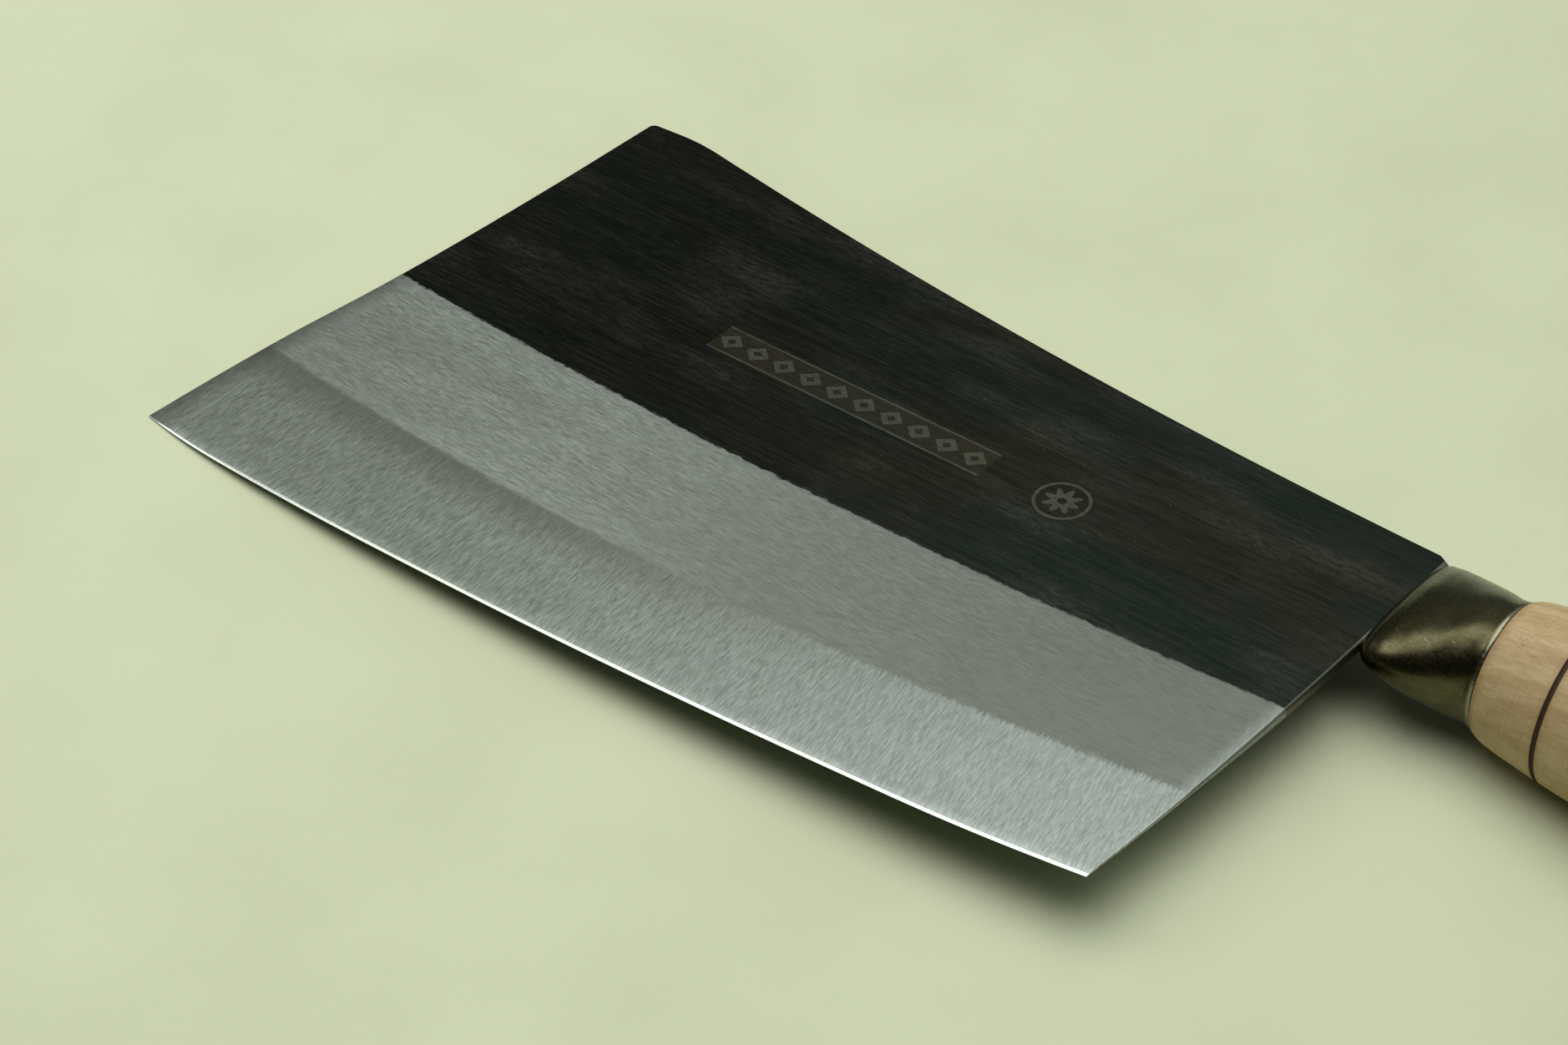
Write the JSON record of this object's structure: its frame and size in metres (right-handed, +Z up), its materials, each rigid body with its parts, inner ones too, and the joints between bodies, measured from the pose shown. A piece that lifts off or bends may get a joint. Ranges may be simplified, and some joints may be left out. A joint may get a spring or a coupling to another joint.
{
  "type": "meat cleaver",
  "caption": "Forged carbon-steel butcher's cleaver with a broad tall blade, steel ferrule and turned wooden handle, lying on its side.",
  "frame": {"origin": "on the surface the cleaver lies on, under the middle of its length and width", "axes": "+X from the blade's front edge towards the handle's butt, +Y from the cutting edge towards the spine, +Z up out of the face that is seen; the knife's own axis rises 3.4 degrees towards the butt because the handle's belly lifts the heel"},
  "size_m": [0.3606, 0.1495, 0.0374],
  "materials": {
    "blade_steel": "forge-dark upper face, satin ground lower face",
    "ferrule_steel": "dark worn polish",
    "resin": "cast resin",
    "wood": "bare turned wood with one burnt ring",
    "rod_steel": "dull drawn rod",
    "weld_steel": "weld bead"
  },
  "bodies": {
    "root": {"blade": "blade_steel", "ferrule": "ferrule_steel", "ferrule_filling": "resin", "handle": "wood", "tang": "rod_steel", "tang_weld": "weld_steel"}
  },
  "joints": []
}
